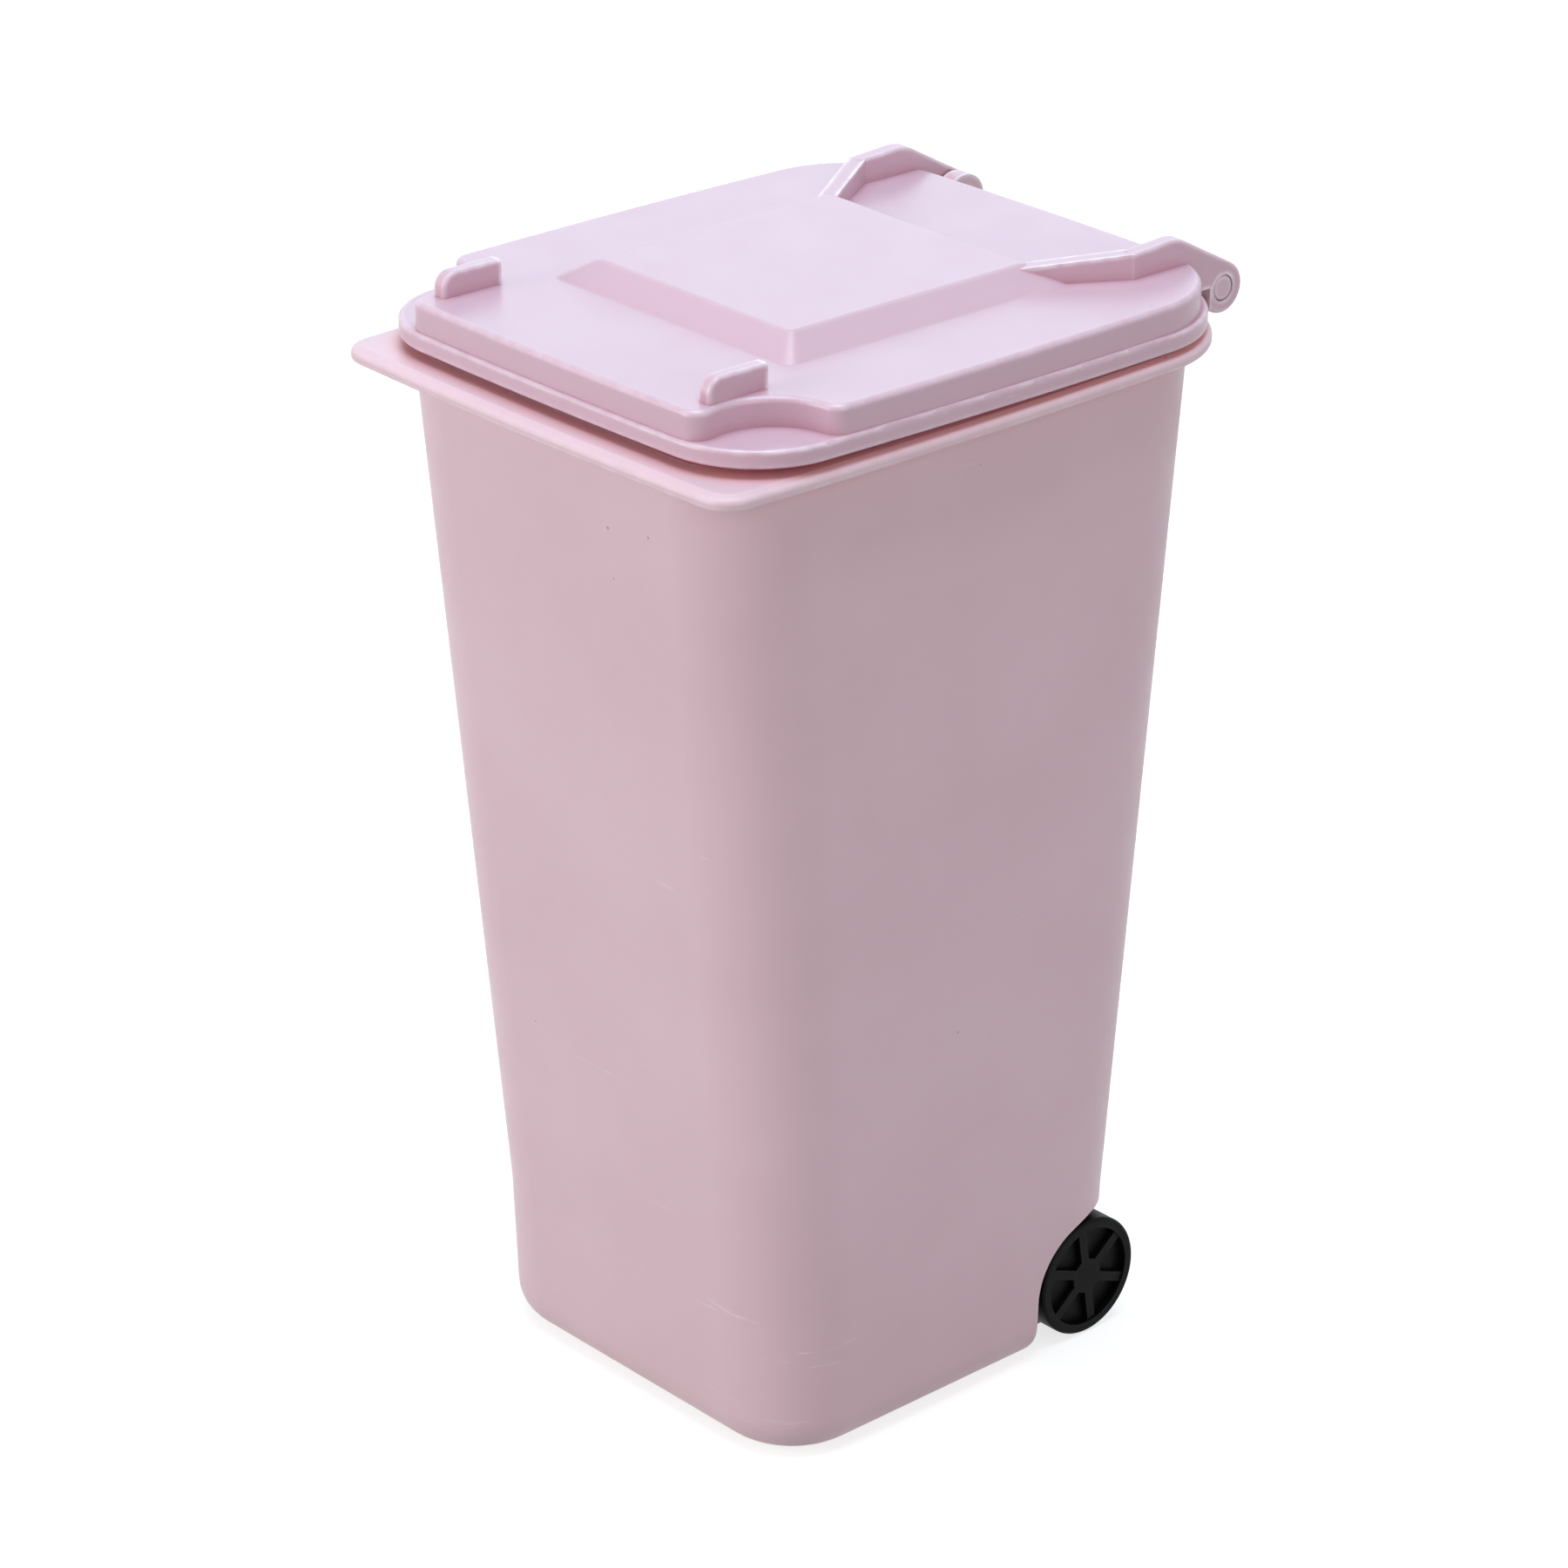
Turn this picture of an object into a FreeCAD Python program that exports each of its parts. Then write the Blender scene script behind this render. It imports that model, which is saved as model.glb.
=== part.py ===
"""Desk-size wheelie bin: a tapered tub, a hinged lid on two pins and two wheels on an axle.

Millimetres, +Z up. The origin is the middle of the tub's underside, the front of the bin faces -Y
and the hinge and the wheels are at +Y.
"""
import FreeCAD, Part
import math
import os
import re
import Sketcher

doc = FreeCAD.newDocument("mini_trash_can")

# Driving dimensions, one cell each
SIZES = [
    ("base_half_width", 32.4),
    ("base_half_depth", 33.0),
    ("side_taper", 3.65),
    ("front_taper", 11.95),
    ("rear_taper", 10.4),
    ("foot_margin", 2.4),
    ("foot_flare", 0.8),
    ("wall_corner_radius", 12.8),
    ("base_rounding", 5.5),
    ("wall_thickness", 1.5),
    ("floor_thickness", 1.6),
    ("rim_height", 150.0),
    ("rim_thickness", 2.0),
    ("rim_side_overhang", 3.95),
    ("rim_front_overhang", 4.75),
    ("rim_rear_overhang", 4.3),
    ("rim_front_radius", 4.6),
    ("rim_rear_radius", 18.0),
    ("rim_slope_width", 1.5),
    ("rim_slope_drop", 0.5),
    ("rim_edge_rounding", 0.85),
    ("rim_underedge_rounding", 0.5),
    ("edge_bow_radius", 900.0),
    ("hinge_overhang", 2.8),
    ("hinge_rise", 1.8),
    ("pin_radius", 1.8),
    ("pin_play", 0.08),
    ("pin_end_chamfer", 0.25),
    ("knuckle_wall", 1.8),
    ("lug_width", 2.6),
    ("lug_side_gap", 0.35),
    ("lug_web_drop", 9.0),
    ("wheel_radius", 9.0),
    ("wheel_ground_gap", 0.2),
    ("wheel_width", 5.6),
    ("wheel_side_inset", 0.65),
    ("wheel_rear_proud", 1.8),
    ("wheel_side_gap", 0.8),
    ("wheel_arch_gap", 1.4),
    ("arch_edge_rounding", 0.8),
    ("arch_foot_radius", 4.0),
    ("arch_foot_dip", 0.6),
    ("wheel_tyre_width", 1.5),
    ("wheel_edge_rounding", 0.5),
    ("wheel_face_recess", 1.2),
    ("wheel_inner_recess", 2.2),
    ("wheel_spoke_sink", 0.25),
    ("wheel_spoke_width", 1.4),
    ("wheel_spoke_turn", 8.5),
    ("wheel_hub_wall", 1.1),
    ("wheel_cap_thickness", 1.4),
    ("axle_radius", 1.5),
    ("axle_play", 0.06),
    ("axle_end_chamfer", 0.3),
    ("lid_rest_tilt", 0.6),
    ("lid_seat_gap", 0.35),
    ("lid_side_inset", 0.35),
    ("lid_front_inset", 3.7),
    ("lid_rear_gap", 4.0),
    ("lid_front_radius", 14.0),
    ("lid_corner_step", 1.0),
    ("lid_flange_height", 2.5),
    ("lid_flange_rounding", 0.5),
    ("lid_wall", 1.4),
    ("plateau_inset", 0.6),
    ("plateau_rear_inset", 1.2),
    ("plateau_rise", 3.95),
    ("plateau_rounding", 0.8),
    ("scallop_radius", 9.2),
    ("scallop_side_inset", 2.2),
    ("scallop_front_inset", 6.8),
    ("scallop_end_rounding", 2.5),
    ("hump_side_inset", 15.95),
    ("hump_front_inset", 21.1),
    ("hump_rear", 24.5),
    ("hump_slope_width", 4.5),
    ("hump_rise", 2.75),
    ("hump_corner_radius", 2.0),
    ("hump_top_corner_radius", 1.0),
    ("hump_crown_rounding", 1.4),
    ("hump_foot_rounding", 0.8),
    ("rib_side_inset", 13.15),
    ("rib_setback", 4.5),
    ("rib_length", 9.8),
    ("rib_width", 2.2),
    ("rib_rise", 3.4),
    ("rib_nose_radius", 2.2),
    ("arm_side_inset", 12.85),
    ("arm_width", 2.5),
    ("arm_rise", 4.0),
    ("arm_bend_drop", 0.45),
    ("arm_root_drop", 1.6),
    ("ridge_rounding", 0.45),
    ("arm_bend", 17.0),
    ("arm_root_inset", 7.8),
    ("arm_root_overlap", 5.5),
    ("arm_shoulder", 8.9),
    ("arm_shoulder_radius", 5.0),
    ("arm_sink", 0.9),
    ("ear_wall", 1.75),
    ("ear_flat", 2.5),
    ("ear_underside", 0.5),
    ("ear_heel", 1.2),
    ("cut_overrun", 5.0),
]

# Sizes that follow from others: each piece takes its place from the one that carries it
FOLLOWING = [
    ("mouth_half_width", "base_half_width + side_taper"),
    ("mouth_front", "base_half_depth + front_taper"),
    ("mouth_rear", "base_half_depth + rear_taper"),
    ("foot_height", "2 * wheel_radius + wheel_ground_gap + wheel_arch_gap + foot_margin"),
    ("rim_half_width", "mouth_half_width + rim_side_overhang"),
    ("rim_front", "mouth_front + rim_front_overhang"),
    ("rim_rear", "mouth_rear + rim_rear_overhang"),
    ("hinge_back", "rim_rear + hinge_overhang"),
    ("knuckle_radius", "pin_radius + knuckle_wall"),
    ("ear_radius", "pin_radius + pin_play + ear_wall"),
    ("wheel_outer_face", "base_half_width - wheel_side_inset"),
    ("wheel_back", "base_half_depth - wheel_radius + wheel_rear_proud"),
    ("wheel_hub_radius", "axle_radius + wheel_hub_wall"),
    ("lid_half_width", "rim_half_width - lid_side_inset"),
    ("lid_reach", "hinge_back + rim_front - lid_front_inset"),
    ("lid_rear_radius", "rim_rear_radius - lid_corner_step"),
    ("hump_half_width", "lid_half_width - hump_side_inset"),
    ("hump_front", "lid_reach - hump_front_inset"),
    ("rib_half_spread", "lid_half_width - rib_side_inset"),
    ("arm_half_spread", "lid_half_width - arm_side_inset"),
    ("arm_root_half_spread", "arm_half_spread - arm_root_inset"),
    ("arm_root", "hump_rear + arm_root_overlap"),
]
sheet = doc.addObject("Spreadsheet::Sheet", "sizes")
CELLS = {}
entries = [(alias, str(number)) for alias, number in SIZES]
entries += [(alias, "=" + text) for alias, text in FOLLOWING]
for row, (alias, content) in enumerate(entries, start=1):
    sheet.set(f"A{row}", alias.replace("_", " "))
    sheet.set(f"B{row}", content)
    sheet.setAlias(f"B{row}", alias)
    CELLS[alias] = "sizes." + alias
doc.recompute()

SPOKES = 6
FULL_TURN = 360.0
QUARTER = math.pi / 2
RIGHT, LEFT = 1, -1
PLANE_NORMAL = FreeCAD.Vector(0, 0, 1)


def vector(x, y, z=0.0):
    return FreeCAD.Vector(x, y, z)


def formula(text):
    """Write a formula of size names so that it reads the cells of the sheet."""
    return re.sub("[a-z_]+", lambda word: CELLS.get(word.group(), word.group()), text)


def value(text):
    """The number that a formula of size names gives now."""
    return float(sheet.evalExpression(formula(text)))


# Building blocks

def new_body(name):
    body = doc.addObject("PartDesign::Body", name)
    body.Label = name
    return body


def origin_plane(body, role):
    return next(item for item in body.Origin.OriginFeatures if item.Role == role)


def new_sketch(body, name, role, offset="0"):
    """A sketch on one of the body's own planes, moved along the plane's normal."""
    sketch = body.newObject("Sketcher::SketchObject", name)
    sketch.AttachmentSupport = [(origin_plane(body, role), "")]
    sketch.MapMode = "FlatFace"
    sketch.setExpression("AttachmentOffset.Base.z", formula(offset))
    return sketch


def bind(sketch, kind, places, text, name):
    """Add one dimension to a sketch and tie it to a formula."""
    index = sketch.addConstraint(Sketcher.Constraint(kind, *places, value(text)))
    sketch.renameConstraint(index, name)
    sketch.setExpression("Constraints." + name, formula(text))


def bind_place(sketch, geometry, point, text_x, text_y, name):
    """Hold one point of a sketch at a signed place from the origin."""
    for kind, text, suffix in (("DistanceX", text_x, "x"), ("DistanceY", text_y, "y")):
        bind(sketch, kind, (-1, 1, geometry, point), text, name + "_" + suffix)


def close_polygon(sketch, points):
    """Straight sides through points given as pairs of formulas."""
    spots = [vector(value(x), value(y)) for x, y in points]
    count = len(spots)
    for index in range(count):
        sketch.addGeometry(Part.LineSegment(spots[index], spots[(index + 1) % count]))
    for index in range(count):
        following = (index + 1) % count
        sketch.addConstraint(Sketcher.Constraint("Coincident", index, 2, following, 1))
    for index, (text_x, text_y) in enumerate(points):
        bind_place(sketch, index, 1, text_x, text_y, f"corner{index}")


def ring_of_circles(sketch, circles):
    """Whole circles, each given as formulas for its centre and radius."""
    for index, (text_x, text_y, text_radius) in enumerate(circles):
        centre = vector(value(text_x), value(text_y))
        sketch.addGeometry(Part.Circle(centre, PLANE_NORMAL, value(text_radius)))
        bind_place(sketch, index, 3, text_x, text_y, f"centre{index}")
        bind(sketch, "Radius", (index,), text_radius, f"radius{index}")


def arc(centre, radius, start, end):
    return Part.ArcOfCircle(Part.Circle(centre, PLANE_NORMAL, radius), start, end)


def join_round(sketch, count):
    """Join each piece of a closed outline to the next without a corner."""
    for index in range(count):
        sketch.addConstraint(Sketcher.Constraint("Tangent", index, 2, (index + 1) % count, 1))


def rounded_outline(sketch, half_width, front, rear, front_radius, rear_radius):
    """A rectangle with round corners; front and rear are distances from the X axis."""
    wide, ahead, behind = value(half_width), value(front), value(rear)
    fore, aft = value(front_radius), value(rear_radius)
    lines = [
        (vector(wide, fore - ahead), vector(wide, behind - aft)),
        (vector(wide - aft, behind), vector(aft - wide, behind)),
        (vector(-wide, behind - aft), vector(-wide, fore - ahead)),
        (vector(fore - wide, -ahead), vector(wide - fore, -ahead)),
    ]
    corners = [(wide - aft, behind - aft, aft), (aft - wide, behind - aft, aft),
               (fore - wide, fore - ahead, fore), (wide - fore, fore - ahead, fore)]
    for index, ((start, end), (x, y, radius)) in enumerate(zip(lines, corners)):
        sketch.addGeometry(Part.LineSegment(start, end))
        sketch.addGeometry(arc(vector(x, y), radius, index * QUARTER, (index + 1) * QUARTER))
    join_round(sketch, 2 * len(lines))
    for index, kind in enumerate(("Vertical", "Horizontal", "Vertical", "Horizontal")):
        sketch.addConstraint(Sketcher.Constraint(kind, 2 * index))
    bind(sketch, "DistanceX", (-1, 1, 0, 1), half_width, "right_side")
    bind(sketch, "DistanceX", (4, 1, -1, 1), half_width, "left_side")
    bind(sketch, "DistanceY", (-1, 1, 2, 1), rear, "rear_side")
    bind(sketch, "DistanceY", (6, 1, -1, 1), front, "front_side")
    for index, radius in ((1, rear_radius), (3, rear_radius), (5, front_radius), (7, front_radius)):
        bind(sketch, "Radius", (index,), radius, f"corner{index}")


def meet(first, first_radius, second, second_radius, near):
    """The crossing of two circles that lies nearest to a place."""
    between = second - first
    gap = between.Length
    along = (first_radius ** 2 - second_radius ** 2 + gap ** 2) / (2 * gap)
    across = math.sqrt(first_radius ** 2 - along ** 2)
    ahead = between / gap
    aside = vector(-ahead.y, ahead.x)
    foot = first + ahead * along
    return min((foot + aside * across, foot - aside * across), key=lambda spot: (spot - near).Length)


def bowed_outline(sketch, half_width, front, rear, front_radius, rear_radius):
    """A rounded rectangle whose four sides swell a little; front and rear are distances to the X axis.

    A rear edge that lies in front of the X axis has a negative distance.
    """
    wide, ahead, behind = value(half_width), value(front), value(rear)
    bow = value("edge_bow_radius")
    middle = (behind - ahead) / 2
    centres = [vector(wide - bow, middle), vector(0, behind - bow),
               vector(bow - wide, middle), vector(0, bow - ahead)]
    radii = [value(rear_radius), value(rear_radius), value(front_radius), value(front_radius)]
    guesses = [vector(wide, behind), vector(-wide, behind), vector(-wide, -ahead), vector(wide, -ahead)]
    corners = []
    for index, radius in enumerate(radii):
        reach = bow - radius
        corners.append(meet(centres[index], reach, centres[(index + 1) % 4], reach, guesses[index]))
    for index, radius in enumerate(radii):
        before = corners[index - 1] - centres[index]
        after = corners[index] - centres[index]
        following = corners[index] - centres[(index + 1) % 4]
        start, end = math.atan2(before.y, before.x), math.atan2(after.y, after.x)
        sketch.addGeometry(arc(centres[index], bow, start, end))
        sketch.addGeometry(arc(corners[index], radius, end, math.atan2(following.y, following.x)))
    join_round(sketch, 2 * len(radii))
    half_depth = f"( {rear} - ( {front} ) ) / 2"
    places = [(f"{half_width} - edge_bow_radius", half_depth), ("0", f"{rear} - edge_bow_radius"),
              (f"edge_bow_radius - ( {half_width} )", half_depth), ("0", f"edge_bow_radius - ( {front} )")]
    for index, (text_x, text_y) in enumerate(places):
        bind_place(sketch, 2 * index, 3, text_x, text_y, f"side{index}")
        bind(sketch, "Radius", (2 * index,), "edge_bow_radius", f"bow{index}")
    for index, radius in enumerate((rear_radius, rear_radius, front_radius, front_radius)):
        bind(sketch, "Radius", (2 * index + 1,), radius, f"corner{index}")


def pad(body, name, sketch, length, back="0"):
    """Raise a sketch by length along its normal, and by back the other way."""
    feature = body.newObject("PartDesign::Pad", name)
    feature.Profile = sketch
    feature.SideType = "Two sides"
    feature.setExpression("Length", formula(length))
    feature.setExpression("Length2", formula(back))
    return feature


def pocket(body, name, sketch, length, back="0"):
    """Cut a sketch by length against its normal, and by back along it."""
    feature = body.newObject("PartDesign::Pocket", name)
    feature.Profile = sketch
    feature.SideType = "Two sides"
    feature.setExpression("Length", formula(length))
    feature.setExpression("Length2", formula(back))
    return feature


def loft(body, name, kind, sections):
    feature = body.newObject("PartDesign::" + kind, name)
    feature.Profile = sections[0]
    feature.Sections = sections[1:]
    feature.Ruled = True
    return feature


def mirror(body, name, originals):
    """Repeat features on the other side of the bin."""
    doc.recompute()
    feature = body.newObject("PartDesign::Mirrored", name)
    feature.Originals = originals
    feature.MirrorPlane = (origin_plane(body, "YZ_Plane"), [""])
    body.Tip = feature
    doc.recompute()
    return feature


def pick_edges(feature, test):
    """Names of the edges of a feature whose ends and middle all pass a test."""
    doc.recompute()
    names = []
    for index, edge in enumerate(feature.Shape.Edges, start=1):
        first, last = edge.ParameterRange
        spots = [edge.valueAt(first + (last - first) * share) for share in (0, 0.5, 1)]
        if all(test(spot) for spot in spots):
            names.append(f"Edge{index}")
    return names


def dress(body, name, kind, base, edges, **formulas):
    """A fillet or chamfer on named edges."""
    feature = body.newObject("PartDesign::" + kind, name)
    feature.Base = (base, edges)
    for key, text in formulas.items():
        feature.setExpression(key, formula(text))
    return feature


NEAR = 1e-4


def at_height(text):
    level = value(text)
    return lambda spot: abs(spot.z - level) < NEAR


# Tub: one pink moulding with its rim, hinge lugs, wheel housings and axle tube
AXLE_HEIGHT = "wheel_radius + wheel_ground_gap"
ARCH_RADIUS = "wheel_radius + wheel_arch_gap"
ARCH_FOOT_CENTRE = "arch_foot_radius - arch_foot_dip"
HOUSING_FLOOR = "wheel_outer_face - wheel_width - wheel_side_gap"
HINGE_HEIGHT = "rim_height + hinge_rise"
LUG_OUTER = "arm_half_spread - arm_width / 2 - lug_side_gap"


def tub_block(body, prefix, inset, bottom):
    """The tub's outer or inner form: a drafted foot with a round bottom edge and the wall above it.

    The outline of the mouth is handed back.
    """
    radius = f"wall_corner_radius - {inset}"
    waist = new_sketch(body, prefix + "_waist", "XY_Plane", "foot_height")
    half_depth = f"base_half_depth + foot_flare - {inset}"
    half_width = f"base_half_width + foot_flare - {inset}"
    rounded_outline(waist, half_width, half_depth, half_depth, radius, radius)
    foot = body.newObject("PartDesign::Pad", prefix + "_foot")
    foot.Profile = waist
    foot.Reversed = True
    foot.setExpression("Length", formula(f"foot_height - ( {bottom} )"))
    foot.setExpression("TaperAngle", formula("-1 * atan( foot_flare / foot_height )"))
    edges = pick_edges(foot, at_height(bottom))
    dress(body, prefix + "_foot_rounding", "Fillet", foot, edges, Radius=f"base_rounding - {inset}")
    mouth = new_sketch(body, prefix + "_mouth", "XY_Plane", "rim_height")
    rounded_outline(mouth, f"mouth_half_width - {inset}", f"mouth_front - {inset}", f"mouth_rear - {inset}",
                    radius, radius)
    loft(body, prefix + "_wall", "AdditiveLoft", [waist, mouth])
    return mouth


def arch_outline(sketch, radius, foot_radius):
    """Round-topped wheel opening, seen from the side and open below, that flares forward at its foot."""
    centre_y, centre_z = "wheel_back", AXLE_HEIGHT
    middle = vector(value(centre_y), value(centre_z))
    reach, foot, level = value(radius), value(foot_radius), value(ARCH_FOOT_CENTRE)
    bottom = -value("cut_overrun")
    front, rear = middle.x - reach, middle.x + reach
    toe = vector(front - foot, level - foot)
    sketch.addGeometry(arc(middle, reach, 0, math.pi))
    sketch.addGeometry(Part.LineSegment(vector(front, middle.y), vector(front, level)))
    sketch.addGeometry(arc(vector(front - foot, level), foot, -QUARTER, 0))
    sketch.addGeometry(Part.LineSegment(toe, vector(toe.x, bottom)))
    sketch.addGeometry(Part.LineSegment(vector(toe.x, bottom), vector(rear, bottom)))
    sketch.addGeometry(Part.LineSegment(vector(rear, bottom), vector(rear, middle.y)))
    sketch.addConstraint(Sketcher.Constraint("Tangent", 0, 2, 1, 1))
    sketch.addConstraint(Sketcher.Constraint("Tangent", 1, 2, 2, 2))
    for first, end, second in ((2, 1, 3), (3, 2, 4), (4, 2, 5)):
        sketch.addConstraint(Sketcher.Constraint("Coincident", first, end, second, 1))
    sketch.addConstraint(Sketcher.Constraint("Tangent", 5, 2, 0, 1))
    for index, kind in ((1, "Vertical"), (3, "Vertical"), (4, "Horizontal")):
        sketch.addConstraint(Sketcher.Constraint(kind, index))
    bind_place(sketch, 0, 3, centre_y, centre_z, "axle")
    bind(sketch, "Radius", (0,), radius, "reach")
    bind(sketch, "Radius", (2,), foot_radius, "foot")
    bind(sketch, "DistanceY", (-1, 1, 2, 3), ARCH_FOOT_CENTRE, "foot_centre")
    sketch.addConstraint(Sketcher.Constraint("Vertical", 2, 1, 2, 3))
    bind(sketch, "DistanceY", (3, 2, -1, 1), "cut_overrun", "overrun")


def lug_outline(sketch):
    """Knuckle round the hinge pin with a web down to the rear wall."""
    centre_y, centre_z = value("hinge_back"), value(HINGE_HEIGHT)
    radius = value("knuckle_radius")
    root_y = value("mouth_rear - wall_thickness")
    low_z = value("rim_height - lug_web_drop")
    top_z = value("rim_height")
    front = centre_y - radius
    slant = math.atan2(centre_z - low_z, centre_y - root_y)
    spread = math.hypot(centre_z - low_z, centre_y - root_y)
    turn = slant + math.acos(radius / spread) - math.pi
    touch = vector(centre_y + radius * math.cos(turn), centre_z + radius * math.sin(turn))
    sketch.addGeometry(arc(vector(centre_y, centre_z), radius, turn, math.pi))
    sketch.addGeometry(Part.LineSegment(vector(front, centre_z), vector(front, top_z)))
    sketch.addGeometry(Part.LineSegment(vector(front, top_z), vector(root_y, top_z)))
    sketch.addGeometry(Part.LineSegment(vector(root_y, top_z), vector(root_y, low_z)))
    sketch.addGeometry(Part.LineSegment(vector(root_y, low_z), touch))
    sketch.addConstraint(Sketcher.Constraint("Tangent", 0, 2, 1, 1))
    for index in (1, 2, 3):
        sketch.addConstraint(Sketcher.Constraint("Coincident", index, 2, index + 1, 1))
    sketch.addConstraint(Sketcher.Constraint("Tangent", 4, 2, 0, 1))
    sketch.addConstraint(Sketcher.Constraint("Vertical", 1))
    sketch.addConstraint(Sketcher.Constraint("Horizontal", 2))
    sketch.addConstraint(Sketcher.Constraint("Vertical", 3))
    bind_place(sketch, 0, 3, "hinge_back", HINGE_HEIGHT, "hinge")
    bind(sketch, "Radius", (0,), "knuckle_radius", "knuckle")
    bind_place(sketch, 3, 1, "mouth_rear - wall_thickness", "rim_height", "root")
    bind(sketch, "DistanceY", (-1, 1, 3, 2), "rim_height - lug_web_drop", "web_foot")


def build_tub():
    outer = new_body("tub_outer")
    tub_block(outer, "outer", "0", "0")
    rim_sketch = new_sketch(outer, "rim_outline", "XY_Plane", "rim_height - rim_thickness")
    bowed_outline(rim_sketch, "rim_half_width", "rim_front", "rim_rear", "rim_front_radius", "rim_rear_radius")
    rim = pad(outer, "tub_rim", rim_sketch, "rim_thickness")
    top_edges = pick_edges(rim, at_height("rim_height"))
    slope = dress(outer, "rim_slope", "Chamfer", rim, top_edges,
                  Size="rim_slope_drop", Size2="rim_slope_width")
    slope.ChamferType = "Two distances"
    edge_edges = pick_edges(slope, at_height("rim_height - rim_slope_drop"))
    edge = dress(outer, "rim_edge_rounding_top", "Fillet", slope, edge_edges, Radius="rim_edge_rounding")
    lowest = at_height("rim_height - rim_thickness")
    clear_of_wall = value("( rim_half_width + mouth_half_width ) / 2")
    reach_front = value("( rim_front + mouth_front ) / 2")
    reach_rear = value("( rim_rear + mouth_rear ) / 2")

    def on_under_edge(spot):
        outside = abs(spot.x) > clear_of_wall or spot.y < -reach_front or spot.y > reach_rear
        return lowest(spot) and outside
    under_edges = pick_edges(edge, on_under_edge)
    dress(outer, "rim_under_rounding", "Fillet", edge, under_edges, Radius="rim_underedge_rounding")

    lug_sketch = new_sketch(outer, "lug_profile", "YZ_Plane", f"{LUG_OUTER} - lug_width / 2")
    lug_outline(lug_sketch)
    lug = pad(outer, "hinge_lug", lug_sketch, "lug_width / 2", "lug_width / 2")
    mirror(outer, "hinge_lugs", [lug])
    arch_sketch = new_sketch(outer, "arch_profile", "YZ_Plane", HOUSING_FLOOR)
    arch_outline(arch_sketch, ARCH_RADIUS, "arch_foot_radius")
    housing = pocket(outer, "wheel_housing", arch_sketch, "0", "wheel_width + wheel_side_gap + cut_overrun")
    housings = mirror(outer, "wheel_housings", [housing])
    axle_y, axle_z, reach = value("wheel_back"), value(AXLE_HEIGHT), value(ARCH_RADIUS)
    foot, foot_level = value("arch_foot_radius"), value(ARCH_FOOT_CENTRE)
    inboard = value(f"{HOUSING_FLOOR} + wheel_side_gap")

    def on_arch(spot):
        off_axle = math.hypot(spot.y - axle_y, spot.z - axle_z)
        off_foot = math.hypot(spot.y - axle_y + reach + foot, spot.z - foot_level)
        on_front = foot_level - NEAR < spot.z < axle_z and abs(spot.y - axle_y + reach) < NEAR
        on_round = spot.z > axle_z - NEAR and abs(off_axle - reach) < NEAR
        on_foot = spot.z < foot_level + NEAR and abs(off_foot - foot) < NEAR
        return abs(spot.x) > inboard and (on_front or on_round or on_foot)
    arch_edges = pick_edges(housings, on_arch)
    dress(outer, "arch_rounding", "Fillet", housings, arch_edges, Radius="arch_edge_rounding")
    bores = new_sketch(outer, "bore_circles", "YZ_Plane")
    ring_of_circles(bores, [("wheel_back", AXLE_HEIGHT, "axle_radius + axle_play"),
                            ("hinge_back", HINGE_HEIGHT, "pin_radius")])
    through = "base_half_width + cut_overrun"
    pocket(outer, "cross_bores", bores, through, through)

    cavity = new_body("tub_cavity")
    inner_mouth = tub_block(cavity, "inner", "wall_thickness", "floor_thickness")
    pad(cavity, "mouth_clearance", inner_mouth, "cut_overrun")
    cover_sketch = new_sketch(cavity, "cover_profile", "YZ_Plane", f"{HOUSING_FLOOR} - wall_thickness")
    arch_outline(cover_sketch, f"{ARCH_RADIUS} + wall_thickness", "arch_foot_radius - wall_thickness")
    cover = pocket(cavity, "housing_cover", cover_sketch, "0", "wheel_width + wheel_side_gap + cut_overrun")
    mirror(cavity, "housing_covers", [cover])
    tube_sketch = new_sketch(cavity, "tube_profile", "YZ_Plane")
    ring_of_circles(tube_sketch, [("wheel_back", AXLE_HEIGHT, "axle_radius + axle_play + wall_thickness")])
    pocket(cavity, "axle_tube", tube_sketch, through, through)

    tub = doc.addObject("Part::Cut", "tub")
    tub.Base = outer
    tub.Tool = cavity
    tub.Label = "tub"
    return tub


# Lid: one pink moulding, drawn from the hinge axis and swung open by its small rest tilt
FLANGE_BOTTOM = "lid_seat_gap - hinge_rise"
FLANGE_TOP = "lid_seat_gap - hinge_rise + lid_flange_height"
PLATEAU_TOP = "lid_seat_gap - hinge_rise + lid_flange_height + plateau_rise"
PLATEAU_EDGE = ("lid_half_width - plateau_inset", "lid_reach - plateau_inset",
                "0 - lid_rear_gap - plateau_rear_inset", "lid_front_radius - plateau_inset",
                "lid_rear_radius - plateau_inset")


SCALLOP_X, SCALLOP_Y = "lid_half_width - scallop_side_inset", "scallop_front_inset - lid_reach"


def scallop_circles(sketch, radius):
    """The two round bites out of the plateau's front corners, seen from above."""
    ring_of_circles(sketch, [(SCALLOP_X, SCALLOP_Y, radius), (f"0 - ( {SCALLOP_X} )", SCALLOP_Y, radius)])


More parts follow.
